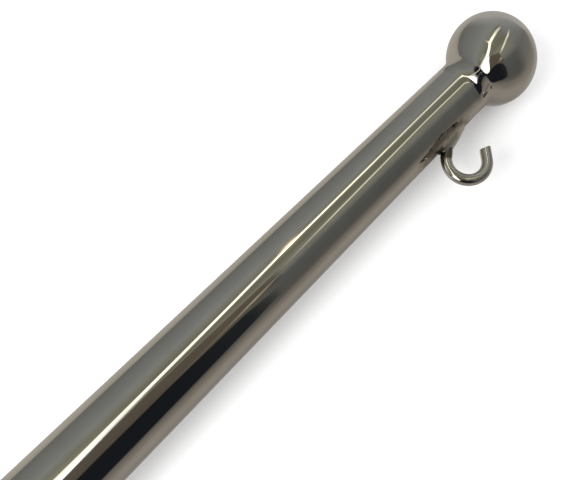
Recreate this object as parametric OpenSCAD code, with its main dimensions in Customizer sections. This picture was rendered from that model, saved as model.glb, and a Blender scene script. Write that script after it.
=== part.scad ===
// Polished stainless steel flagstaff with a hollow ball finial and two open flag hooks.
// The staff stands along +Z, its foot rests on Z = 0 and both hooks reach out along +X.
// All sizes are in millimetres.

/* [Staff] */
// Length of the staff tube, between the foot plug's head and the ball
tube_l = 560; // [500:10:1500]
// Outside diameter of the staff tube
staff_od = 25; // [20:0.5:30]
// Wall thickness of the staff tube
staff_wall = 1.5; // [1:0.1:2.5]

/* [Ball finial] */
// Outside diameter of the hollow ball
ball_d = 42; // [36:0.5:60]
// Wall thickness of the ball
ball_wall = 1.5; // [1:0.1:2.5]
// Radius of the hollow that is ground into the weld between staff and ball
neck_r = 12; // [6:0.5:18]
// Thickness at which the ground weld feathers out on the staff and on the ball
neck_edge = 0.15; // [0.1:0.05:0.4]

/* [Flag hooks] */
// Diameter of the round rod that the hooks are bent from
rod_d = 5; // [4:0.5:6]
// Radius inside the hook's bend
hook_inside_r = 6.5; // [5:0.1:9]
// Angle between the hook's stem and the staff
stem_angle = 35; // [30:1:60]
// Length of the straight stem, from the staff's surface to the bend
stem_l = 6; // [4:0.5:9]
// Angle that the rod turns through in the bend
bend_turn = 192; // [170:1:210]
// Length of the straight tip after the bend
tip_l = 5; // [3:0.5:9]
// Chamfer round the rod's cut end
tip_chamfer = 0.3; // [0.2:0.1:0.8]
// Height of the ball's centre above the root of the upper hook
hook_drop = 48; // [42:1:90]
// Distance between the roots of the two hooks
hook_spacing = 350; // [150:10:400]

/* [Hook welds] */
// Reach of the weld bead along the staff, on the side where the hook opens
bead_above = 12; // [8:0.5:16]
// Reach of the weld bead along the staff, on the side where the stem leans
bead_below = 15; // [11:0.5:20]
// Angle round the staff from the middle of the bead to each of its sides
bead_spread = 40; // [24:1:45]
// Thickness of the weld bead on the staff
bead_t = 1.5; // [1:0.1:2.5]
// Length of the stem that the weld metal climbs
collar_l = 3; // [2.5:0.1:5]
// Thickness of the weld metal round the stem, at its upper end
collar_t = 0.5; // [0.3:0.1:1]
// Thickness of the weld metal round the stem, where the stem leaves the staff
collar_root_t = 1.5; // [1:0.1:1.7]
// Gap between a weld bead and the pieces it lies on
bead_gap = 0.02; // [0.01:0.01:0.05]

/* [Foot plug] */
// Thickness of the plug's head under the tube
plug_head_t = 3; // [2:0.5:6]
// Depth that the plug reaches into the tube
plug_depth = 24; // [16:1:40]
// Wall thickness of the plug's hollow body
plug_wall = 2; // [1.5:0.1:3]
// Number of grip rings round the plug's body
plug_rings = 3; // [2:1:5]
// Thickness of a grip ring
plug_ring_t = 1.4; // [1:0.1:2]
// Height of a grip ring over the plug's body
plug_ring_h = 0.9; // [0.5:0.1:1.2]
// Radial clearance of the grip rings in the tube
plug_clearance = 0.1; // [0.05:0.05:0.3]
// Chamfer round the lower edge of the plug's head
plug_chamfer = 0.8; // [0.4:0.1:1.4]

/* [Hidden] */

steel = [0.74, 0.73, 0.70];
weld_metal = [0.36, 0.34, 0.31];
nylon = [0.10, 0.10, 0.11];

staff_r = staff_od / 2;
bore_r = staff_r - staff_wall;
ball_r = ball_d / 2;
seat_z = plug_head_t + tube_l;
ball_z = seat_z + sqrt(pow(ball_r, 2) - pow(staff_r, 2));

// Facets of a circle in the thin neck weld, whose volume a coarse circle would get wrong
neck_fn = 360;

// Centre of the neck's hollow, as a circle that stands neck_edge off both the staff and the ball
neck_x = staff_r + neck_edge + neck_r;
neck_z = ball_z - sqrt(pow(ball_r + neck_edge + neck_r, 2) - pow(neck_x, 2));

rod_r = rod_d / 2;
bend_r = hook_inside_r + rod_r;
bend_x = staff_r + stem_l * sin(stem_angle) + bend_r * cos(stem_angle);
bend_z = bend_r * sin(stem_angle) - stem_l * cos(stem_angle);
knuckle_rise = 0.02;
knuckle_gap = 0.05;

// Semi-axes of the mound whose outside, clear of the staff, is the weld bead
bead_crest = staff_r + bead_t;
bead_wide = sin(bead_spread) / sqrt(1 / pow(staff_r, 2) - pow(cos(bead_spread) / bead_crest, 2));
bead_long = (bead_above + bead_below) / 2 / sqrt(1 - pow(staff_r / bead_crest, 2));
collar_slope = (collar_root_t - collar_t) / collar_l;

// Depth along the stem at which the widening collar's rim comes down to the staff's surface
collar_sunk = (rod_r + collar_root_t) / (tan(stem_angle) - collar_slope);

upper_root_z = ball_z - hook_drop;
lower_root_z = upper_root_z - hook_spacing;

body_r = bore_r - plug_clearance - plug_ring_h;
ring_pitch = plug_depth / (plug_rings + 0.5);

$fn = 96;

// The open tube, from the plug's head up to the flat seat on the ball
module staff_tube() {
    color(steel)
    translate([0, 0, plug_head_t])
    difference() {
        cylinder(r = staff_r, h = tube_l);
        translate([0, 0, -1]) cylinder(r = bore_r, h = tube_l + 2);
    }
}

// A hollow ball with its underside cut flat, so that it sits square on the tube's end
module finial_ball() {
    color(steel)
    translate([0, 0, ball_z])
    difference() {
        sphere(r = ball_r);
        sphere(r = ball_r - ball_wall);
        translate([0, 0, seat_z - ball_z - ball_r]) cylinder(r = ball_r, h = ball_r);
    }
}

// Weld metal between the staff and the ball, ground to one smooth hollow
module neck_weld() {
    color(steel)
    rotate_extrude($fn = neck_fn)
    difference() {
        polygon([[0, neck_z], [neck_x, neck_z], [0, ball_z]]);
        translate([0, neck_z - 1]) square([staff_r, ball_r + neck_r + 2]);
        translate([0, ball_z]) circle(r = ball_r, $fn = neck_fn);
        translate([neck_x, neck_z]) circle(r = neck_r, $fn = neck_fn);
    }
}

// Places its children at a turn of the bend, with +Z along the rod there: 0 is where the stem
// ends, bend_turn is where the tip starts
module along_bend(turn) {
    translate([bend_x, 0, bend_z])
    rotate([0, 180 - stem_angle - turn, 0])
    translate([bend_r, 0, 0])
    children();
}

// The straight stem, from inside the staff's wall nearly to the bend, with its root at the origin
module stem(extra_r = 0) {
    rotate([0, 180 - stem_angle, 0])
    translate([0, 0, -staff_r])
    cylinder(r = rod_r + extra_r, h = staff_r + stem_l - knuckle_gap);
}

// The bent stretch, which stops short of the stem and of the tip by the knuckle's gap
module bend(extra_r = 0) {
    slack = knuckle_gap / bend_r * 180 / PI;
    translate([bend_x, 0, bend_z])
    rotate([90, 0, 0])
    rotate([0, 0, 180 + stem_angle + slack])
    rotate_extrude(angle = bend_turn - 2 * slack)
    translate([bend_r, 0])
    circle(r = rod_r + extra_r);
}

// The straight tip, cut square and chamfered
module tip() {
    straight = tip_l - tip_chamfer;
    translate([0, 0, knuckle_gap]) cylinder(r = rod_r, h = straight - knuckle_gap);
    translate([0, 0, straight]) cylinder(r1 = rod_r, r2 = rod_r - tip_chamfer, h = tip_chamfer);
}

// One open hook, opening towards +Z, with the root of its stem on the staff's surface at Z = 0.
// A knuckle a hair thicker than the rod fuses each straight stretch with the bend.
module hook() {
    difference() {
        union() {
            translate([staff_r, 0, 0]) stem();
            along_bend(0) sphere(r = rod_r + knuckle_rise);
            bend();
            along_bend(bend_turn) sphere(r = rod_r + knuckle_rise);
            along_bend(bend_turn) tip();
        }
        translate([0, 0, -staff_od * 2]) cylinder(r = staff_r, h = staff_od * 4);
    }
}

// The low bead that wraps the staff round the root of the stem: a mound that runs out to a feather
// edge bead_spread to each side and at its two ends
module bead() {
    intersection() {
        translate([0, 0, (bead_above - bead_below) / 2])
        scale([bead_crest, bead_wide, bead_long])
        sphere(r = 1);
        translate([0, -staff_od, -staff_od * 2]) cube([staff_od, staff_od * 2, staff_od * 4]);
    }
}

// The weld metal that climbs from the bead up round the stem
module collar() {
    translate([staff_r, 0, 0])
    rotate([0, 180 - stem_angle, 0])
    translate([0, 0, -collar_sunk])
    cylinder(r1 = rod_r + collar_root_t + collar_sunk * collar_slope, r2 = rod_r + collar_t,
             h = collar_sunk + collar_l);
}

// The rough weld that carries a hook, cut away for the staff and for the rod
module hook_weld() {
    difference() {
        union() {
            bead();
            collar();
        }
        translate([0, 0, -staff_od * 2]) cylinder(r = staff_r + bead_gap, h = staff_od * 4);
        translate([staff_r, 0, 0]) stem(bead_gap);
        along_bend(0) sphere(r = rod_r + bead_gap + knuckle_rise);
        bend(bead_gap);
    }
}

module upper_hook() {
    color(steel) translate([0, 0, upper_root_z]) hook();
}

module upper_hook_weld() {
    color(weld_metal) translate([0, 0, upper_root_z]) hook_weld();
}

// The lower hook opens downwards, so that a flag is held taut between the two
module lower_hook() {
    color(steel) translate([0, 0, lower_root_z]) mirror([0, 0, 1]) hook();
}

module lower_hook_weld() {
    color(weld_metal) translate([0, 0, lower_root_z]) mirror([0, 0, 1]) hook_weld();
}

// A push-in end plug with a flat head and grip rings round a hollow body
module foot_plug() {
    color(nylon)
    difference() {
        union() {
            cylinder(r1 = staff_r - plug_chamfer, r2 = staff_r, h = plug_chamfer);
            translate([0, 0, plug_chamfer]) cylinder(r = staff_r, h = plug_head_t - plug_chamfer);
            translate([0, 0, plug_head_t]) cylinder(r = body_r, h = plug_depth);
            for (i = [1 : plug_rings])
                translate([0, 0, plug_head_t + i * ring_pitch - plug_ring_t])
                cylinder(r = body_r + plug_ring_h, h = plug_ring_t);
        }
        translate([0, 0, plug_head_t]) cylinder(r = body_r - plug_wall, h = plug_depth + 1);
    }
}

staff_tube();
finial_ball();
neck_weld();
upper_hook();
upper_hook_weld();
lower_hook();
lower_hook_weld();
foot_plug();
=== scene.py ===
"""Mirror-polished stainless steel flagstaff with a ball finial, two open flag hooks and a foot plug."""

import math

import bpy
import numpy as np
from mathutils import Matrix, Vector


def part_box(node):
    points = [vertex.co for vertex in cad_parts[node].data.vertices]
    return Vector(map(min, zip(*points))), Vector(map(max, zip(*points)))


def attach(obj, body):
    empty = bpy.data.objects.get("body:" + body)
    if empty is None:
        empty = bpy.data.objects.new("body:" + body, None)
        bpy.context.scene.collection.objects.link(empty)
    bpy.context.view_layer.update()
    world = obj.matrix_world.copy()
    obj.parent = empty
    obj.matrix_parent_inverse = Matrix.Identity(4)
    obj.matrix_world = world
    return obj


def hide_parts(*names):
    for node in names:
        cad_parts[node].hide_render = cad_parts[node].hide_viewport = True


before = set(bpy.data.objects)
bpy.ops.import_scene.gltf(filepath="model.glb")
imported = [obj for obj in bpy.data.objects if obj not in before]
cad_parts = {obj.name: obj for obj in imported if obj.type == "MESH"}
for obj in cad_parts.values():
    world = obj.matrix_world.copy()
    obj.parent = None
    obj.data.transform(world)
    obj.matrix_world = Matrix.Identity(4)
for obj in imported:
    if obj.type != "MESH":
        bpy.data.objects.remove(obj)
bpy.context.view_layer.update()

MM = 0.001
# Keeps a division away from nought.
TINY = 1e-12

# Sizes of the real parts, in metres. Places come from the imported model's boxes.
STAFF_WALL = 1.5 * MM
STAFF_EDGE = 0.15 * MM
# The ground neck is a long flare up from the staff, then a tight arc into the ball.
FLARE_R = 60 * MM
FLARE_TURN = math.radians(6.5)
NECK_R = 0.4 * MM
# A hook is a stem, a bend and a tip. The bend is drawn a touch tighter than the solid's.
ROD_R = 2.5 * MM
STEM_L = 6 * MM
STEM_SUNK = 1.2 * MM
STEM_ANGLE = math.radians(35)
BEND_R = 9 * MM
DRAWN_BEND_R = 8.85 * MM
BEND_TURN = math.radians(192)
TIP_L = 5.6 * MM
TIP_CHAMFER = 0.3 * MM
# The slope of the rod's cut end, in the hook's plane and across it.
CUT_LEAN = (0.34, 0.3)

ACROSS = np.array([0, 1.0, 0])
ALONG_STEM = np.array([math.sin(STEM_ANGLE), 0, -math.cos(STEM_ANGLE)])
ABOVE_STEM = np.array([math.cos(STEM_ANGLE), 0, math.sin(STEM_ANGLE)])

# Each hook's node, the way it opens (1 is up), and the seed of its weld's unevenness.
HOOKS = (("upper_hook", 1, 1), ("lower_hook", -1, 2))

staff_low, staff_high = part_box("staff_tube")
ball_low, ball_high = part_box("finial_ball")
FOOT_Z = staff_low.z
STAFF_R = (staff_high.x - staff_low.x) / 2
BORE_R = STAFF_R - STAFF_WALL
BALL_R = (ball_high.x - ball_low.x) / 2
BALL_Z = ball_high.z - BALL_R


# ---------------------------------------------------------------- colours and nodes

def linear(hex_colour):
    """An sRGB hex colour as linear red, green, blue and an alpha of 1."""
    parts = np.array([int(hex_colour[i:i + 2], 16) / 255 for i in (1, 3, 5)])
    low = parts / 12.92
    high = ((parts + 0.055) / 1.055) ** 2.4
    return tuple(float(v) for v in np.where(parts <= 0.04045, low, high)) + (1.0,)


def add(tree, kind, settings=None, inputs=None, stops=(), output=None):
    """Adds a node, sets its properties, fills or links its inputs, and sets its colour stops.

    Gives the output that is asked for, or the node.
    """
    node = tree.nodes.new(kind)
    for key, value in (settings or {}).items():
        setattr(node, key, value)
    for key, value in (inputs or {}).items():
        socket = node.inputs[key]
        if isinstance(value, bpy.types.NodeSocket):
            tree.links.new(value, socket)
        else:
            socket.default_value = value
    for k, (position, colour) in enumerate(stops):
        elements = node.color_ramp.elements
        element = elements[k] if k < len(elements) else elements.new(position)
        element.position = position
        element.color = linear(colour)
    return node if output is None else node.outputs[output]


def new_material(name):
    """A material with an empty node tree, and that tree."""
    material = bpy.data.materials.new(name)
    material.use_nodes = True
    material.node_tree.nodes.clear()
    return material, material.node_tree


def show(name, data):
    """Puts an object with this data into the scene, at the origin."""
    piece = bpy.data.objects.new(name, data)
    bpy.context.scene.collection.objects.link(piece)
    return piece


# ---------------------------------------------------------------- surfaces

def closed_faces(count, turns):
    """The faces of a closed surface through rings of points, as four-sided ones and triangles.

    Four-sided faces join neighbouring rings. Triangles join the first and the last ring to their
    poles, the two points that follow the rings'.
    """
    ring, turn = np.meshgrid(np.arange(count - 1) * turns, np.arange(turns), indexing="ij")
    after = (turn + 1) % turns
    quads = np.stack([ring + turn, ring + after, ring + turns + after, ring + turns + turn], -1)
    turn, after, top = turn[0], after[0], (count - 1) * turns
    first, last = count * turns, count * turns + 1
    start_fan = np.stack([np.full(turns, first), after, turn], -1)
    end_fan = np.stack([np.full(turns, last), top + turn, top + after], -1)
    return quads.reshape(-1, 4), np.concatenate([start_fan, end_fan])


def with_poles(values):
    """The values at all points of the rings in one row, and their means over the two end rings."""
    row = values.reshape((-1,) + values.shape[2:])
    return np.concatenate([row, values[:1].mean(1), values[-1:].mean(1)])


def faces_inwards(points, quads, fans):
    """True where the closed faces' volume, the sum of their corners' triple products, is negative."""
    triangles = np.concatenate([quads[:, :3], quads[:, [0, 2, 3]], fans])
    a, b, c = (points[triangles[:, corner]] for corner in range(3))
    return (a * np.cross(b, c)).sum() < 0


def lean_normals(mesh, points, leans):
    """Turns a round surface's normals: straight out from the axis, dipped to the foot by the lean.

    Where the lean is no number, the mesh keeps its own normal.
    """
    own = np.empty(len(mesh.loops) * 3)
    mesh.corner_normals.foreach_get("vector", own)
    spots = np.empty(len(mesh.loops), np.int32)
    mesh.loops.foreach_get("vertex_index", spots)
    dip = leans[spots][:, None]
    out = points[spots] * (1, 1, 0)
    out /= np.linalg.norm(out, axis=1, keepdims=True) + TINY
    dipped = out * np.cos(dip) - np.array([0, 0, 1.0]) * np.sin(dip)
    mesh.normals_split_custom_set(np.where(np.isnan(dip), own.reshape(-1, 3), dipped).tolist())


def skin(name, rings, material, crease=40, marks=None, leans=None):
    """A closed surface through rings of points, given as an array (ring, turn, xyz).

    Neighbouring rings are joined by four-sided faces, and the first and the last ring are closed
    by a fan to a pole at their middle. Faces that turn by more than the crease angle stay sharp.
    Each of the marks is a number at every point of the rings, kept for the material to read. The
    leans are, for each ring about the staff's axis, the angle by which the surface's normal dips
    towards the foot, where it isn't the mesh's own.
    """
    count, turns = rings.shape[:2]
    points = with_poles(rings)
    quads, fans = closed_faces(count, turns)
    corners = np.concatenate([quads.ravel(), fans.ravel()])
    sizes = np.repeat([4, 3], [len(quads), len(fans)])
    mesh = bpy.data.meshes.new(name)
    mesh.vertices.add(len(points))
    mesh.vertices.foreach_set("co", points.ravel())
    mesh.loops.add(len(corners))
    mesh.loops.foreach_set("vertex_index", corners)
    mesh.polygons.add(len(sizes))
    mesh.polygons.foreach_set("loop_start", np.cumsum(sizes) - sizes)
    mesh.update(calc_edges=True)
    if faces_inwards(points, quads, fans):
        mesh.flip_normals()
    mesh.polygons.foreach_set("use_smooth", np.ones(len(sizes), bool))
    mesh.set_sharp_from_angle(angle=math.radians(crease))
    for mark, values in (marks or {}).items():
        layer = mesh.attributes.new(mark, "FLOAT", "POINT")
        layer.data.foreach_set("value", with_poles(np.broadcast_to(values, (count, turns))))
    if leans is not None:
        lean_normals(mesh, points, with_poles(np.broadcast_to(leans[:, None], (count, turns))))
    mesh.materials.append(material)
    return show(name, mesh)


def revolve(profile, turns=192):
    """Rings of a profile of (radius, height) points turned about the staff's axis."""
    angle = np.linspace(0, 2 * np.pi, turns, endpoint=False)
    radius, height = profile[:, :1], profile[:, 1:]
    return np.stack([radius * np.cos(angle), radius * np.sin(angle), height + 0 * angle], -1)


# ---------------------------------------------------------------- staff, neck and ball

# How far the polished neck's shine leans towards the foot: millimetres under the ball's centre, and
# degrees. The buffing wheel dug a hollow there that is too fine for the outline.
NECK_LEAN = [(16.5, 52), (17, 58), (18, 59.5), (19.5, 58), (21.2, 55), (22.4, 51), (23.2, 46),
             (23.8, 38), (24.4, 30), (25.2, 21), (26.4, 11), (28, 4), (30, 0)]
# The ball's circle stops this angle short of the top, where the fan closes it.
POLE_GAP = 0.004


def on_circle(x, z, radius, angle):
    """Points (radius, height) of a profile at angles on a circle about the point x, z."""
    return np.stack([x + radius * np.cos(angle), z + radius * np.sin(angle)], 1)


def staff_profile():
    """The outline of staff, ground neck and ball, from the bore's end round the outside to the top.

    The staff is a straight line at its radius. The neck leaves it as a long arc of the flare's
    radius, turns by the flare's angle, and goes on as a tight arc of the neck's radius, whose
    centre stands that radius off the ball's circle, so that it runs smoothly into the ball. The
    ball is the circle's arc from there to the pole. Also gives each row's lean of the normal.
    """
    seat = BALL_Z - math.sqrt(BALL_R ** 2 - STAFF_R ** 2)
    neck_x = STAFF_R + FLARE_R * (1 - math.cos(FLARE_TURN)) + NECK_R * math.cos(FLARE_TURN)
    neck_z = BALL_Z - math.sqrt((BALL_R + NECK_R) ** 2 - neck_x ** 2)
    flare_z = neck_z + (NECK_R - FLARE_R) * math.sin(FLARE_TURN)
    toward_ball = math.atan2(BALL_Z - neck_z, -neck_x)
    inside = np.array([[BORE_R * 0.02, seat], [BORE_R, seat], [BORE_R, FOOT_Z]])
    lip = np.array([[STAFF_R - STAFF_EDGE, FOOT_Z], [STAFF_R, FOOT_Z + STAFF_EDGE]])
    # The staff's rows are far apart, and close together just under the flare, where shading turns.
    far = np.linspace(FOOT_Z + 2 * MM, flare_z - 4 * MM, 24)
    close = flare_z - np.arange(3.8, 0.1, -0.2) * MM
    rows = np.concatenate([far, close])
    staff = np.stack([np.full(len(rows), STAFF_R), rows], 1)
    turn = math.pi - np.linspace(0, FLARE_TURN, 90, endpoint=False)
    flare = on_circle(STAFF_R + FLARE_R, flare_z, FLARE_R, turn)
    neck = on_circle(neck_x, neck_z, NECK_R, np.linspace(math.pi - FLARE_TURN, toward_ball, 16))
    turn = np.linspace(toward_ball - math.pi, math.pi / 2 - POLE_GAP, 180)[1:]
    ball = on_circle(0, BALL_Z, BALL_R, turn)
    profile = np.concatenate([inside, lip, staff, flare, neck, ball])
    under = (BALL_Z - profile[:, 1]) / MM
    depths, angles = np.array(NECK_LEAN).T
    leaning = (under < depths[-1]) & (profile[:, 0] > BORE_R)
    leaning[-len(ball):] = False
    return profile, np.where(leaning, np.radians(np.interp(under, depths, angles)), np.nan)


# ---------------------------------------------------------------- hooks

def hook_root(node, way):
    """The root of a hook's stem on the staff's surface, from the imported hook's box.

    The bend's circle touches the box's outer side and its lower side, or its upper side where the
    hook opens downwards (way is -1). The stem runs from the bend's start back to the staff.
    """
    low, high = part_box(node)
    reach = BEND_R + ROD_R
    side = low.z + reach if way > 0 else high.z - reach
    centre = np.array([high.x - reach, 0, side])
    return centre - (BEND_R * ABOVE_STEM + STEM_L * ALONG_STEM) * (1, 1, way)


def carry(path, outward, radius, turns=48):
    """Rings of a round rod carried along a path in the plane of staff and hook.

    Each ring is a circle in the plane of the outward direction and the Y axis.
    """
    angle = np.linspace(0, 2 * np.pi, turns, endpoint=False)[None, :, None]
    swing = np.cos(angle) * outward[:, None, :] + np.sin(angle) * ACROSS
    return path[:, None, :] + radius[:, None, None] * swing


def hook_rings(node, way):
    """A rod carried along stem, bend and tip, with a slanting, chamfered end.

    The stem is a straight line, the bend an arc about its centre, and the tip the arc's tangent.
    Towards the end each ring leans over, its points shifted along the rod by the lean times their
    place across it, so that the last ring lies in the plane of the cut. Also gives two marks. One
    is the distance from the stem's root along the rod, in millimetres, less the slant of the line
    where the weld's scale ends: it reaches 1.1 mm further on the rod's flanks, and 0.4 mm on its
    underside, away from the hook's mouth. The other is one on the underside and nought opposite.
    """
    stem = np.linspace(-STEM_SUNK / STEM_L, 1, 40, endpoint=False)[:, None] * ALONG_STEM * STEM_L
    turn = STEM_ANGLE + np.linspace(0, BEND_TURN, 110)
    spoke = -np.stack([np.cos(turn), 0 * turn, np.sin(turn)], 1)
    bend = ALONG_STEM * STEM_L + DRAWN_BEND_R * (spoke - spoke[0])
    ahead = np.array([math.sin(turn[-1]), 0, -math.cos(turn[-1])])
    chamfer = TIP_CHAMFER / TIP_L
    reach = np.array([0.15, 0.3, 0.45, 0.6, 0.8, 1 - chamfer, 1 - 0.4 * chamfer, 1, 1])
    tip = bend[-1] + ahead * TIP_L * reach[:, None]
    path = np.concatenate([stem, bend, tip])
    outward = np.concatenate([np.repeat(spoke[:1], len(stem), 0), spoke, np.repeat(spoke[-1:], len(tip), 0)])
    radius = np.full(len(path), ROD_R)
    radius[-3:] -= TIP_CHAMFER * np.array([0.55, 1, 3])
    rings = carry(path, outward, radius)
    off = rings[-len(tip):] - tip[:, None]
    lean = CUT_LEAN[0] * (off @ spoke[-1]) + CUT_LEAN[1] * off[..., 1]
    rings[-len(tip):] += (lean * reach[:, None] ** 1.5)[..., None] * ahead
    rings[..., 2] *= way
    steps = np.linalg.norm(np.diff(path, axis=0), axis=1)
    run = (np.concatenate([[0], np.cumsum(steps)]) - STEM_SUNK) / MM
    angle = np.linspace(0, 2 * np.pi, rings.shape[1], endpoint=False)
    marks = {"run": run[:, None] - 1.1 * np.sin(angle) ** 2 - 0.4 * np.cos(angle),
             "under": 0.5 + 0.5 * np.cos(angle)[None, :]}
    return rings + hook_root(node, way), marks


# ---------------------------------------------------------------- hook welds

# The weld's toe line on the staff: degrees round the stem from the side where the hook opens, then
# degrees round the staff, and height over the stem's root in millimetres. A tail runs down beside
# the stem, on its side towards -Y. On the other side the toe line goes no lower than the next value.
TOE = [(0, 0, 12.5), (18, 13, 12.0), (36, 25, 10.4), (54, 35, 7.4), (72, 41, 3.2), (90, 42.5, -2),
       (108, 41, -7), (124, 36.5, -12), (134, 34.5, -14.2), (141, 32.8, -15.8), (147, 31.3, -13.2),
       (155, 27.5, -11.1), (166, 18, -8.9), (180, 0, -6.7)]
LOWEST_WITHOUT_TAIL = -3.5


def lumps(points, size, seed):
    """Rolling unevenness between -1 and 1: a sum of sine waves that run in spread-out directions.

    Six waves of nearly the same length cross at the golden angle, so no direction repeats.
    """
    total = np.zeros(points.shape[:-1])
    golden_angle = 2.4
    for k in range(6):
        around, up = golden_angle * (k + seed), math.asin((k + 0.5) / 3 - 1)
        toward = np.array([math.cos(around) * math.cos(up), math.sin(around) * math.cos(up), math.sin(up)])
        wave_length = size * (1 + 0.17 * k)
        total += np.sin(points @ toward * 2 * math.pi / wave_length + 1.7 * k * seed)
    return total / 3.5


def smooth(share):
    """A smooth step: nought below 0, one above 1, and three squares less two cubes between them."""
    share = np.clip(share, 0, 1)
    return share * share * (3 - 2 * share)


def weld_rings(node, way, seed):
    """A weld between toe line, stem and staff, as rings from the toe line to a ring on the stem.

    Each line across the weld is a cubic curve. It leaves the toe line close along the staff, and
    comes to the stem along the stem, where it stands proud on the side where the hook opens and
    lies close below. Wherever it would dip under a bed a little over the staff, it is raised onto
    that bed by a soft maximum of the two distances from the axis. Ripples run across the weld as
    it was drawn round the stem, and lumps move the surface away from the staff's axis. Also gives
    two marks: the share of the way up from toe to stem, and the degrees round the stem.
    """
    turn = np.linspace(0, 2 * np.pi, 240, endpoint=False)
    half = np.abs((turn + np.pi) % (2 * np.pi) - np.pi)
    side = np.where(turn < np.pi, 1, -1)
    upper = np.clip(np.cos(turn), 0, 1)[:, None]

    about, toe_round, toe_high = np.array(TOE).T
    wave = 0.5 * np.sin(19 * turn + seed) + 0.35 * np.sin(31 * turn + 2 * seed)
    toe_turn = np.interp(np.degrees(half), about, toe_round) + 0.5 * wave * np.sin(half)
    toe_turn = np.radians(toe_turn) * side
    toe_up = np.interp(np.degrees(half), about, toe_high) + 0.12 * wave * np.cos(half)
    toe_up = np.where(side > 0, np.maximum(toe_up, LOWEST_WITHOUT_TAIL), toe_up) * MM

    def on_staff(radius):
        return np.stack([radius * np.cos(toe_turn), radius * np.sin(toe_turn), toe_up], -1)

    def on_stem(radius, reach):
        ring = np.cos(turn)[:, None] * ABOVE_STEM + np.sin(turn)[:, None] * ACROSS
        return np.array([STAFF_R, 0, 0]) + ALONG_STEM * reach + ring * radius

    # The cubic curve's four points: toe, hold, shoulder and crown.
    climb = (3.2 - 1.9 * np.cos(turn) + 0.3 * np.sin(3 * turn + seed))[:, None] * MM
    toe = on_staff(STAFF_R - 0.02 * MM)
    crown = on_stem(ROD_R + 0.06 * MM, climb)
    shoulder = on_stem(ROD_R + (0.25 + 1.9 * upper ** 2) * MM, climb - (1.5 + 2.0 * upper) * MM)
    hold = on_staff(STAFF_R + 0.35 * MM) * 0.62 + shoulder * 0.38
    v = np.linspace(0, 1, 72)[:, None, None]
    u = 1 - v
    sheet = u ** 3 * toe + 3 * v * u ** 2 * hold + 3 * v ** 2 * u * shoulder + v ** 3 * crown

    # Ripples and lumps are roughest at the toe and on the side towards +Y.
    v = v[..., 0]
    swell = np.sin(np.pi * np.clip(v * 1.05, 0, 1)) ** 0.7
    rough = np.clip(1.15 - v * 1.1, 0.15, 1) * (0.45 + 0.55 * np.clip(np.cos(turn * 0.5) * 1.6 - 0.5, 0, 1))
    ripple = np.sin(23 * turn + 3.5 * v + 0.6 * np.sin(4 * turn + seed))
    broad, fine = lumps(sheet, 4.0 * MM, seed), lumps(sheet, 1.6 * MM, seed + 3)
    move = (0.10 * ripple + 0.18 * broad + 0.08 * fine) * rough * swell * MM

    # The bed climbs from just inside the staff's surface to 0.75 mm over it.
    bed = STAFF_R + (-0.5 + 1.25 * smooth(v / 0.22)) * MM
    softness = 0.12 * MM
    out = np.linalg.norm(sheet[..., :2], axis=-1)
    raised = softness * np.logaddexp(out / softness, bed / softness) + move
    sheet = sheet * np.stack([raised / out, raised / out, np.ones_like(out)], -1)

    # The first and the last ring are sunk into the staff and the stem, and close the weld there.
    start, end = on_staff(STAFF_R - 0.5 * MM), on_stem(ROD_R - 0.3 * MM, climb + 0.2 * MM)
    rings = np.concatenate([start[None], sheet, end[None]])
    rings[..., 2] = rings[..., 2] * way + hook_root(node, way)[2]
    marks = {"climb": np.concatenate([[0], v[:, 0], [1]])[:, None], "round": np.degrees(half)[None, :]}
    return rings, marks


# ---------------------------------------------------------------- materials

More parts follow.
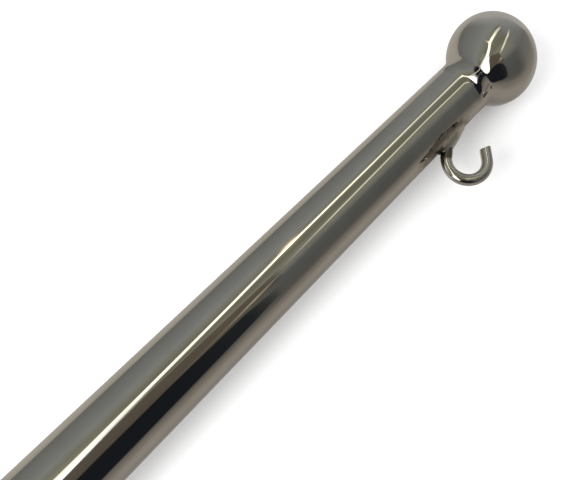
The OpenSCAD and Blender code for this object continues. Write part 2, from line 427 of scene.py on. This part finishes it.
def polished_steel():
    """Stainless steel, ground with belts and buffed to a mirror.

    The eye sees near-perfect reflections with a faint warm tint, hair-fine buffing lines that run
    round the staff, a thin haze of handling marks, and a duller straw and brown zone where each
    weld's heat reached the surface.
    """
    material, tree = new_material("mirror polished stainless steel")
    place = add(tree, "ShaderNodeTexCoord", output="Object")
    haze = add(tree, "ShaderNodeTexNoise", output="Fac", inputs={
        "Vector": place, "Scale": 90.0, "Detail": 4.0, "Roughness": 0.6})
    rough = add(tree, "ShaderNodeMapRange", output="Result", inputs={
        "Value": haze, "From Min": 0.35, "From Max": 0.75, "To Min": 0.03, "To Max": 0.085})
    tint = add(tree, "ShaderNodeValToRGB", output="Color", inputs={"Fac": haze}, stops=[
        (0.3, "#D1CFCA"), (0.7, "#C9C7C2")])
    # Buffing lines are 0.02 to 0.05 mm apart on the real staff. They are drawn 0.4 mm apart.
    squeezed = add(tree, "ShaderNodeVectorMath", {"operation": "MULTIPLY"}, output=0, inputs={
        0: place, 1: (60, 60, 2500)})
    lines = add(tree, "ShaderNodeTexNoise", output="Fac", inputs={
        "Vector": squeezed, "Scale": 1.0, "Detail": 3.0, "Roughness": 0.7})
    bump = add(tree, "ShaderNodeBump", output="Normal", inputs={
        "Height": lines, "Strength": 0.06, "Distance": 0.04 * MM})
    # The tint of the heat fades from 5 to 10.5 mm off a point beside the stem's root, and spreads
    # twice as far along the staff. Its edge is uneven by 1.3 mm.
    stains = add(tree, "ShaderNodeTexNoise", output="Fac", inputs={
        "Vector": place, "Scale": 330.0, "Detail": 4.0})
    uneven = add(tree, "ShaderNodeMapRange", output="Result", inputs={
        "Value": stains, "From Min": 0.3, "From Max": 0.7, "To Min": -1.3 * MM, "To Max": 1.3 * MM})
    for node, way, _ in HOOKS:
        middle = hook_root(node, way) + (0, 0, -1.5 * MM * way)
        off = add(tree, "ShaderNodeVectorMath", {"operation": "SUBTRACT"}, output=0, inputs={
            0: place, 1: middle})
        off = add(tree, "ShaderNodeVectorMath", {"operation": "MULTIPLY"}, output=0, inputs={
            0: off, 1: (1, 1, 0.5)})
        off = add(tree, "ShaderNodeVectorMath", {"operation": "LENGTH"}, output="Value", inputs={0: off})
        off = add(tree, "ShaderNodeMath", {"operation": "ADD"}, output=0, inputs={0: off, 1: uneven})
        heat = add(tree, "ShaderNodeMapRange", output="Result", inputs={
            "Value": off, "From Min": 5 * MM, "From Max": 10.5 * MM, "To Min": 1.0, "To Max": 0.0})
        brown = add(tree, "ShaderNodeValToRGB", output="Color", inputs={"Fac": heat}, stops=[
            (0.0, "#FFFFFF"), (0.35, "#F3EFE9"), (0.6, "#D5CCC3"), (1.0, "#A39A92")])
        tint = add(tree, "ShaderNodeMix", {"data_type": "RGBA", "blend_type": "MULTIPLY"}, output=2,
                   inputs={0: 1.0, 6: tint, 7: brown})
        dull = add(tree, "ShaderNodeMapRange", output="Result", inputs={
            "Value": heat, "From Max": 0.6, "To Max": 0.26})
        rough = add(tree, "ShaderNodeMath", {"operation": "ADD"}, output=0, inputs={0: rough, 1: dull})
    steel = add(tree, "ShaderNodeBsdfPrincipled", output="BSDF", inputs={
        "Base Color": tint, "Metallic": 1.0, "Roughness": rough, "Normal": bump})
    add(tree, "ShaderNodeOutputMaterial", inputs={"Surface": steel})
    return material


def polished_rod():
    """Stainless steel rod, drawn, bent cold and tumbled bright, then heated at its welded end.

    The eye sees bright, slightly blurred reflections with a fine speckle, a dull grey-brown scaled
    stretch at the weld, painted shade on the rod's underside in the crevice under the stem, and a
    narrow straw-coloured band where the scale ends.
    """
    material, tree = new_material("bright drawn stainless rod")
    place = add(tree, "ShaderNodeTexCoord", output="Object")
    haze = add(tree, "ShaderNodeTexNoise", output="Fac", inputs={
        "Vector": place, "Scale": 400.0, "Detail": 3.0})
    fine = add(tree, "ShaderNodeTexNoise", output="Fac", inputs={
        "Vector": place, "Scale": 1600.0, "Detail": 3.0})
    # How far the metal lies from the weld's heat, from 0 at 4 mm along the rod to 1 at 9 mm, uneven
    # by half a millimetre.
    run = add(tree, "ShaderNodeAttribute", {"attribute_name": "run"}, output="Fac")
    uneven = add(tree, "ShaderNodeMapRange", output="Result", inputs={
        "Value": haze, "To Min": -0.5, "To Max": 0.5})
    away = add(tree, "ShaderNodeMath", {"operation": "ADD"}, output=0, inputs={0: run, 1: uneven})
    away = add(tree, "ShaderNodeMapRange", output="Result", inputs={
        "Value": away, "From Min": 4.0, "From Max": 9.0})
    tint = add(tree, "ShaderNodeValToRGB", output="Color", inputs={"Fac": away}, stops=[
        (0.0, "#7F7B74"), (0.36, "#78736A"), (0.44, "#80745A"), (0.54, "#C4BBA4"), (0.75, "#D8D6D0")])
    speck = add(tree, "ShaderNodeMapRange", output="Result", inputs={
        "Value": fine, "From Min": 0.35, "From Max": 0.55, "To Min": 0.8, "To Max": 1.0})
    # Painted shade: on the rod's underside next to the weld the colour is darkened to 0.4 of itself, where
    # the crevice under the stem lies in shade.
    under = add(tree, "ShaderNodeAttribute", {"attribute_name": "under"}, output="Fac")
    near = add(tree, "ShaderNodeMapRange", output="Result", inputs={
        "Value": away, "From Min": 0.3, "From Max": 0.5, "To Min": 1.0, "To Max": 0.0})
    painted_crevice_shade = add(tree, "ShaderNodeMath", {"operation": "MULTIPLY"}, output=0, inputs={0: near, 1: under})
    shade = add(tree, "ShaderNodeMapRange", output="Result", inputs={
        "Value": painted_crevice_shade, "From Min": 0.35, "From Max": 0.8, "To Min": 1.0, "To Max": 0.4})
    shade = add(tree, "ShaderNodeMath", {"operation": "MULTIPLY"}, output=0, inputs={0: speck, 1: shade})
    tint = add(tree, "ShaderNodeMix", {"data_type": "RGBA", "blend_type": "MULTIPLY"}, output=2,
               inputs={0: 1.0, 6: tint, 7: shade})
    # One number for both: the scale is duller than the bright rod, and rougher to the touch.
    scale = add(tree, "ShaderNodeMapRange", output="Result", inputs={
        "Value": away, "From Min": 0.36, "From Max": 0.5, "To Min": 0.32, "To Max": 0.09})
    bump = add(tree, "ShaderNodeBump", output="Normal", inputs={
        "Height": fine, "Strength": scale, "Distance": 0.08 * MM})
    steel = add(tree, "ShaderNodeBsdfPrincipled", output="BSDF", inputs={
        "Base Color": tint, "Metallic": 1.0, "Roughness": scale, "Normal": bump})
    add(tree, "ShaderNodeOutputMaterial", inputs={"Surface": steel})
    return material


def weld_metal():
    """Stainless steel weld, run by hand and left as it froze.

    The eye sees a black line where the toe bites into the staff, a dull brown-grey bead with dark
    specks, above it and towards the hook's mouth smoother, cleaner metal that still mirrors its
    surroundings, and painted deep shade in the crevice under the stem.
    """
    material, tree = new_material("as-welded stainless steel")
    place = add(tree, "ShaderNodeTexCoord", output="Object")
    broad = add(tree, "ShaderNodeTexNoise", output="Fac", inputs={
        "Vector": place, "Scale": 420.0, "Detail": 3.0})
    fine = add(tree, "ShaderNodeTexNoise", output="Fac", inputs={
        "Vector": place, "Scale": 1600.0, "Detail": 3.0, "Roughness": 0.6})
    climb = add(tree, "ShaderNodeAttribute", {"attribute_name": "climb"}, output="Fac")
    about = add(tree, "ShaderNodeAttribute", {"attribute_name": "round"}, output="Fac")
    # How clean the metal is: more so up the weld, and most on the side where the hook opens.
    uneven = add(tree, "ShaderNodeMapRange", output="Result", inputs={
        "Value": broad, "From Min": 0.3, "From Max": 0.7, "To Min": -0.09, "To Max": 0.09})
    clean = add(tree, "ShaderNodeMath", {"operation": "ADD"}, output=0, inputs={0: climb, 1: uneven})
    open_side = add(tree, "ShaderNodeMapRange", output="Result", inputs={
        "Value": about, "From Min": 20.0, "From Max": 75.0, "To Min": 0.45, "To Max": 0.0})
    off_toe = add(tree, "ShaderNodeMath", {"operation": "MULTIPLY_ADD", "use_clamp": True}, output=0,
                  inputs={0: climb, 1: 3.0, 2: -0.15})
    clean = add(tree, "ShaderNodeMath", {"operation": "MULTIPLY_ADD"}, output=0, inputs={
        0: off_toe, 1: open_side, 2: clean})
    top = add(tree, "ShaderNodeMapRange", output="Result", inputs={
        "Value": about, "From Min": 25.0, "From Max": 62.0, "To Min": 0.34, "To Max": 0.0})
    clean = add(tree, "ShaderNodeMath", {"operation": "ADD"}, output=0, inputs={0: clean, 1: top})
    tint = add(tree, "ShaderNodeValToRGB", output="Color", inputs={"Fac": clean}, stops=[
        (0.0, "#1D1916"), (0.045, "#2A2420"), (0.10, "#898078"), (0.34, "#B3ABA2"), (0.55, "#D2CCC3"),
        (0.9, "#DAD6CE")])
    speck = add(tree, "ShaderNodeMapRange", output="Result", inputs={
        "Value": fine, "From Min": 0.36, "From Max": 0.52, "To Min": 0.7, "To Max": 1.0})
    # Painted shade: under the stem the weld's colour is darkened to 0.3 of itself up to the rod, where the
    # crevice lies in shade.
    under = add(tree, "ShaderNodeMapRange", output="Result", inputs={
        "Value": about, "From Min": 80.0, "From Max": 150.0})
    high = add(tree, "ShaderNodeMapRange", output="Result", inputs={
        "Value": climb, "From Min": 0.35, "From Max": 0.8})
    painted_crevice_shade = add(tree, "ShaderNodeMath", {"operation": "MULTIPLY"}, output=0, inputs={0: under, 1: high})
    shade = add(tree, "ShaderNodeMapRange", output="Result", inputs={
        "Value": painted_crevice_shade, "To Min": 1.0, "To Max": 0.3})
    shade = add(tree, "ShaderNodeMath", {"operation": "MULTIPLY"}, output=0, inputs={0: shade, 1: speck})
    tint = add(tree, "ShaderNodeMix", {"data_type": "RGBA", "blend_type": "MULTIPLY"}, output=2,
               inputs={0: 1.0, 6: tint, 7: shade})
    rough = add(tree, "ShaderNodeMapRange", output="Result", inputs={
        "Value": clean, "From Min": 0.1, "From Max": 0.6, "To Min": 0.45, "To Max": 0.3})
    strength = add(tree, "ShaderNodeMapRange", output="Result", inputs={
        "Value": clean, "From Min": 0.1, "From Max": 0.7, "To Min": 0.45, "To Max": 0.12})
    bump = add(tree, "ShaderNodeBump", output="Normal", inputs={
        "Height": fine, "Strength": strength, "Distance": 0.3 * MM})
    metal = add(tree, "ShaderNodeBsdfPrincipled", output="BSDF", inputs={
        "Base Color": tint, "Metallic": 1.0, "Roughness": rough, "Normal": bump})
    add(tree, "ShaderNodeOutputMaterial", inputs={"Surface": metal})
    return material


def moulded_nylon():
    """Black polyamide, moulded in a spark-eroded tool.

    The eye sees a soft black with a fine even grain, and paler scuffs on the rim where the foot
    has stood.
    """
    material, tree = new_material("moulded black nylon")
    place = add(tree, "ShaderNodeTexCoord", output="Object")
    grain = add(tree, "ShaderNodeTexNoise", output="Fac", inputs={
        "Vector": place, "Scale": 3500.0, "Detail": 2.0})
    wear = add(tree, "ShaderNodeTexNoise", output="Fac", inputs={
        "Vector": place, "Scale": 260.0, "Detail": 5.0, "Roughness": 0.7})
    # The lowest 1.4 mm are the most worn.
    height = add(tree, "ShaderNodeSeparateXYZ", output="Z", inputs={"Vector": place})
    low = add(tree, "ShaderNodeMapRange", output="Result", inputs={
        "Value": height, "From Max": 1.4 * MM, "To Min": 0.22, "To Max": 0.0})
    scuff = add(tree, "ShaderNodeMath", {"operation": "ADD"}, output=0, inputs={0: wear, 1: low})
    tint = add(tree, "ShaderNodeValToRGB", output="Color", inputs={"Fac": scuff}, stops=[
        (0.35, "#18181A"), (0.62, "#1F1F21"), (0.74, "#35353A"), (0.84, "#4A4A4E")])
    rough = add(tree, "ShaderNodeMapRange", output="Result", inputs={
        "Value": scuff, "From Min": 0.4, "From Max": 0.85, "To Min": 0.42, "To Max": 0.66})
    bump = add(tree, "ShaderNodeBump", output="Normal", inputs={
        "Height": grain, "Strength": 0.25, "Distance": 0.06 * MM})
    nylon = add(tree, "ShaderNodeBsdfPrincipled", output="BSDF", inputs={
        "Base Color": tint, "Roughness": rough, "IOR": 1.53, "Normal": bump})
    add(tree, "ShaderNodeOutputMaterial", inputs={"Surface": nylon})
    return material


# ---------------------------------------------------------------- pieces

steel = polished_steel()
rod = polished_rod()
weld = weld_metal()
nylon = moulded_nylon()

profile, leans = staff_profile()
staff = skin("staff_neck_and_ball", revolve(profile), steel, leans=leans)
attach(staff, "root")
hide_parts("staff_tube", "finial_ball", "neck_weld")

for node, way, _ in HOOKS:
    rings, marks = hook_rings(node, way)
    hook = skin(node + "_rod", rings, rod, marks=marks)
    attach(hook, "root")
    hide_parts(node)

for node, way, seed in HOOKS:
    rings, marks = weld_rings(node, way, seed)
    bead = skin(node + "_weld_metal", rings, weld, crease=60, marks=marks)
    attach(bead, "root")
    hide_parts(node + "_weld")

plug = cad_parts["foot_plug"]
plug.data.materials.clear()
plug.data.materials.append(nylon)


# ---------------------------------------------------------------- camera

# The camera stands below the ball and looks up the staff, rolled so that the staff runs across
# the frame from corner to corner. Its place is taken from the ball's centre, its angles in degrees.
CAMERA_PLACE = Vector((41.95, -168.26, -134.42)) * MM
CAMERA_ANGLES = (117.891, -38.047, -14.529)

camera_data = bpy.data.cameras.new("camera")
camera_data.sensor_width = 36
camera_data.lens = 28.62
camera_data.shift_x = -0.3004
camera_data.shift_y = -0.0601
camera_data.clip_start = 0.01
camera = show("camera", camera_data)
camera.location = CAMERA_PLACE + Vector((0, 0, BALL_Z))
camera.rotation_euler = [math.radians(angle) for angle in CAMERA_ANGLES]
bpy.context.scene.camera = camera


# ---------------------------------------------------------------- light tent

# The tent stands round the staff and only reflections see it. Its cards are placed by two angles
# as seen from the ball: degrees round from the camera, and degrees above the horizon.
TENT_R = 0.5
CAMERA_TURN = math.radians(-76)
FLOOR_GAP = 2 * MM
# The degrees up at which the wall's shades start and end giving way to the roof's, and at which
# the wall bends over into the dome.
WALL_TO_ROOF = (12, 48)
DOME_FROM = 40

# The wall's and the roof's own shades, as stops of (degrees round, colour).
WALL = [(-180, "#C0BBB4"), (-160, "#BAB5AD"), (-140, "#BCB6AD"), (-125, "#BDB7AD"), (-113, "#AFAAA1"),
        (-110.5, "#7F7D78"), (-106, "#7C7C78"), (-90, "#848583"), (-70, "#8B8D8C"), (-50, "#989A96"),
        (-40, "#939389"), (-26, "#807F6F"), (-14, "#7E7C68"), (-4, "#918F82"), (6, "#8F8E83"),
        (14, "#84837C"), (24, "#666764"), (45, "#5F605E"), (62, "#5F605D"), (70, "#6B6863"),
        (78, "#867F77"), (88, "#938C83"), (100, "#A69E95"), (116, "#A59E96"), (127, "#9C958E"),
        (140, "#918D89"), (160, "#A5A29E"), (180, "#C0BBB4")]
ROOF = [(-180, "#BAB7B1"), (-140, "#BBB8B3"), (-100, "#C0BEB9"), (-60, "#A3A4A2"), (-20, "#8E9190"),
        (20, "#797A76"), (60, "#83807B"), (100, "#989289"), (120, "#B2ACA3"), (140, "#A9A59E"),
        (180, "#BAB7B1")]
# The cards: the soft margin in degrees, the colour, and stops of (degrees above the horizon, middle,
# half width, brightness). Later cards lie over earlier ones.
CARDS = [
    ("brown curtain", 2.0, "#6B6053", [
        (-52, 19, 5, 0.7), (-46, 14, 12, 0.75), (-40, 9.5, 16, 0.75), (-32, 8, 17, 0.8),
        (-16, 11, 12, 1), (-13, 11, 11, 0)]),
    ("navy flag", 3.0, "#1E2126", [
        (-84, 44, 22, 0), (-80, 44, 20, 1), (-74, 46, 16, 1), (-68, 50, 12, 1), (-62, 55, 17, 1),
        (-56, 53, 22, 1), (-48, 49, 27, 1), (-38, 44, 25, 1), (-30, 43, 24, 1), (-20, 44, 19, 0.8),
        (-15, 48, 10, 0)]),
    ("dark cloth under the window", 3.0, "#1E1F26", [
        (-90, -27, 44, 1), (-78, -27, 42, 1), (-75, -27, 40, 0)]),
    ("glow round the window", 8.0, "#B9B9A4", [
        (-66, -26, 5, 0), (-52, -24, 8, 0.7), (-40, -22, 10, 0.7), (-30, -20, 9, 0.4),
        (-10, -27, 7, 0.5), (20, -36, 9, 0.5), (45, -44, 7, 0)]),
    ("left lamp tube", 2.0, "#FFFBE6", [
        (-46, -18, 3, 1.1), (-38, -17, 4, 2), (-30, -20, 3.5, 2.2), (-20, -24.5, 2.8, 2.4),
        (-10, -30.5, 2.8, 2.4), (0, -32.5, 2.6, 2.2), (10, -34, 2.4, 1.8), (20, -36.5, 2.6, 1.2),
        (33, -39, 2.4, 0.9), (44, -43, 2, 0)]),
    ("window", 2.0, "#F8FAFA", [
        (-77, 8, 17, 0), (-70, 8.5, 18.5, 2), (-62, 10, 24, 2.5), (-56, 7.5, 22, 3), (-50, -2, 14, 3.6),
        (-44, -9.5, 7.5, 3.4), (-38, -11, 3, 2.0), (-36, -12, 1.8, 1.4), (-30, -15, 1, 0.3),
        (-20, -18, 0.6, 0.1), (-12, -20, 0.6, 0)]),
    ("right lamp tube", 1.6, "#FBF8DF", [
        (-16, 5, 1.2, 0), (-10, 2.5, 1.4, 0.6), (0, -1.5, 1.6, 1.3), (10, -5, 1.6, 1.3),
        (20, -9, 1.6, 1.2), (33, -13.5, 1.8, 1.4), (45, -21, 1.5, 0.7), (56, -30, 1, 0)]),
    ("lamp's far end", 2.5, "#F4EEDC", [
        (-30, 18, 1.6, 0), (-24, 16, 2, 0.2), (-18, 14, 2.2, 0.7), (-10, 11, 1.6, 0)]),
    ("worktop under the foot", 2.0, "#C4C2B2", [
        (-90, 66, 50, 1), (-83, 64, 48, 1), (-80, 62, 44, 0)]),
]
# The least share of its own colour that a card keeps.
DIMMEST = 0.3
# A small warm spotlight: degrees round and up, its spread in both, its brightness and its colour.
SPOTLIGHT = (-34, -9.4, 3, 1.4, 2.6, "#FFD9A4")


def mixed(where, stops):
    """Linear colours between neighbouring (place, hex colour) stops."""
    places = [place for place, _ in stops]
    shades = np.array([linear(shade)[:3] for _, shade in stops])
    return np.stack([np.interp(where, places, shades[:, channel]) for channel in range(3)], -1)


def tent_colours(turn, rise):
    """The tent's colours at degrees round from the camera and degrees above the horizon.

    The wall's shades give way smoothly to the roof's. Each card is mixed in by a mask that falls
    from one to nothing over its margin, half of it inside the card's edge. A card dimmer than one
    is mixed in by the root of its brightness. The spotlight falls off exponentially to all sides.
    """
    start, end = WALL_TO_ROOF
    roof = smooth((rise - start) / (end - start))[..., None]
    colour = mixed(turn, WALL) * (1 - roof) + mixed(turn, ROOF) * roof
    for _, margin, shade, stops in CARDS:
        heights, middles, halves, brights = np.array(stops, float).T
        off = np.abs(turn - np.interp(rise, heights, middles)) - np.interp(rise, heights, halves)
        mask = np.clip(0.5 - off / margin, 0, 1)
        bright = np.interp(rise, heights, brights, right=0)
        shown = (mask * np.clip(bright, 0, 1) ** 0.5)[..., None]
        colour += shown * (np.array(linear(shade)[:3]) * np.maximum(bright, DIMMEST)[..., None] - colour)
    at, up, wide, tall, bright, shade = SPOTLIGHT
    glow = np.exp(-np.abs((turn - at) / wide) - ((rise - up) / tall) ** 2)
    return colour + bright * glow[..., None] * np.array(linear(shade)[:3])


def tent_mesh():
    """A round wall that closes above in a dome, as a grid over turn and rise.

    The wall is a cylinder up to where the dome begins. The dome is the rest of a sphere about the
    ball, so that wall and dome meet at the same distance and the same rise. Below the wall the
    tent lies just over the floor, and goes in nearly to the foot.
    """
    turn, rise = np.meshgrid(np.linspace(-180, 180, 721), np.linspace(-87.5, 89.5, 355))
    upward = np.radians(rise)
    reach = TENT_R / np.cos(np.minimum(upward, math.radians(DOME_FROM)))
    reach = np.minimum(reach, (BALL_Z - FLOOR_GAP) / np.maximum(-np.sin(upward), TINY))
    angle = np.radians(turn) + CAMERA_TURN
    level = reach * np.cos(upward)
    points = np.stack([level * np.cos(angle), level * np.sin(angle), BALL_Z + reach * np.sin(upward)], -1)
    rows, cols = turn.shape
    row, col = np.meshgrid(np.arange(rows - 1), np.arange(cols - 1), indexing="ij")
    corner = row * cols + col
    faces = np.stack([corner, corner + 1, corner + cols + 1, corner + cols], -1).reshape(-1, 4)
    mesh = bpy.data.meshes.new("light_tent")
    mesh.from_pydata(points.reshape(-1, 3), [], faces)
    layer = mesh.color_attributes.new("cards", "FLOAT_COLOR", "POINT")
    colour = np.concatenate([tent_colours(turn, rise), np.ones(turn.shape + (1,))], -1)
    layer.data.foreach_set("color", colour.ravel())
    return mesh


material, tree = new_material("light tent cards")
shade = add(tree, "ShaderNodeAttribute", {"attribute_name": "cards"}, output="Color")
glow = add(tree, "ShaderNodeEmission", output="Emission", inputs={"Color": shade})
add(tree, "ShaderNodeOutputMaterial", inputs={"Surface": glow})
tent = show("light_tent", tent_mesh())
tent.data.materials.append(material)
tent.visible_camera = False
tent.visible_diffuse = False
tent.visible_shadow = False
tent.visible_transmission = False


# ---------------------------------------------------------------- floor, backdrop and lamp

PAPER = "#F6F6F6"
# Half the floor's side, half the backdrop's width, its height, and its distance behind the axis.
FLOOR_HALF = 3
BACKDROP_HALF = 0.5
BACKDROP_TOP = 1.2
BACKDROP_Y = BALL_R + 1 * MM


def sheet_of_paper(name, corners, material):
    """One flat face through four corners."""
    mesh = bpy.data.meshes.new(name)
    mesh.from_pydata(corners, [], [(0, 1, 2, 3)])
    mesh.materials.append(material)
    sheet = show(name, mesh)
    return sheet


paper, tree = new_material("pale paper")
diffuse = add(tree, "ShaderNodeBsdfDiffuse", output="BSDF", inputs={"Color": linear(PAPER)})
add(tree, "ShaderNodeOutputMaterial", inputs={"Surface": diffuse})
side = FLOOR_HALF
sheet_of_paper("floor", [(-side, -side, 0), (side, -side, 0), (side, side, 0), (-side, side, 0)], paper)

# The backdrop takes the staff's shadow close behind it, and is clear when seen from its back.
paper, tree = new_material("pale paper, clear from behind")
front = add(tree, "ShaderNodeBsdfDiffuse", output="BSDF", inputs={"Color": linear(PAPER)})
clear = add(tree, "ShaderNodeBsdfTransparent", output="BSDF")
behind = add(tree, "ShaderNodeNewGeometry", output="Backfacing")
either = add(tree, "ShaderNodeMixShader", output="Shader", inputs={0: behind, 1: front, 2: clear})
add(tree, "ShaderNodeOutputMaterial", inputs={"Surface": either})
side, y, top = BACKDROP_HALF, BACKDROP_Y, BACKDROP_TOP
backdrop = sheet_of_paper("backdrop", [(-side, y, 0), (side, y, 0), (side, y, top), (-side, y, top)], paper)
backdrop.visible_glossy = False

world = bpy.data.worlds.new("studio")
bpy.context.scene.world = world
world.use_nodes = True
tree = world.node_tree
tree.nodes.clear()
sky = add(tree, "ShaderNodeBackground", output="Background", inputs={
    "Color": linear("#FFFFFF"), "Strength": 1.06})
add(tree, "ShaderNodeOutputWorld", inputs={"Surface": sky})

# A small soft lamp, low in front of the staff, gives the shadow its direction.
key_data = bpy.data.lights.new("key", "AREA")
key_data.shape = "DISK"
key_data.size = 0.26
key_data.energy = 1.9
key = show("key", key_data)
key.location = (-0.063, -0.38, 0.12)
aim = Vector((0, 0, BALL_Z - 50 * MM)) - key.location
key.rotation_euler = aim.to_track_quat("-Z", "Y").to_euler()
key.visible_glossy = False
key.visible_camera = False

bpy.context.scene.view_settings.view_transform = "Standard"
